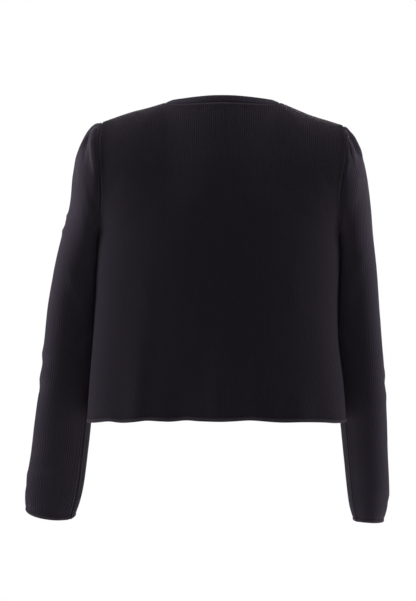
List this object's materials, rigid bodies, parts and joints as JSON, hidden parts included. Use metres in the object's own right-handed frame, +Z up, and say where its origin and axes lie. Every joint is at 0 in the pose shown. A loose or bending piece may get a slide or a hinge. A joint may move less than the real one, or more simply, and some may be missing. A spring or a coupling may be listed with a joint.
{
  "type": "cardigan",
  "caption": "Cropped crew-neck cardigan in black fine rib knit with a buttoned front and long sleeves gathered at the shoulders, filled out as when worn and open at neck, hem and cuffs.",
  "frame": {"origin": "midway between the two points where the shoulder seams meet the neckband, at the height of the wearer's shoulders there", "axes": "+Z up along the wearer's body, -Y out of the buttoned front, +X towards the wearer's left"},
  "size_m": [0.56, 0.2211, 0.6496],
  "materials": {
    "black_rib_knit": "matt fine rib knit",
    "black_band_knit": "matt close knit band",
    "black_button_plastic": "soft gloss"
  },
  "bodies": {
    "root": {"back": "black_rib_knit", "front_left": "black_rib_knit", "front_right": "black_rib_knit", "sleeve_left": "black_rib_knit", "sleeve_right": "black_rib_knit", "neckband": "black_band_knit", "button_band": "black_band_knit", "buttonhole_band": "black_band_knit", "button_1": "black_button_plastic", "button_2": "black_button_plastic", "button_3": "black_button_plastic", "button_4": "black_button_plastic", "button_5": "black_button_plastic", "button_6": "black_button_plastic", "button_7": "black_button_plastic"}
  },
  "joints": []
}
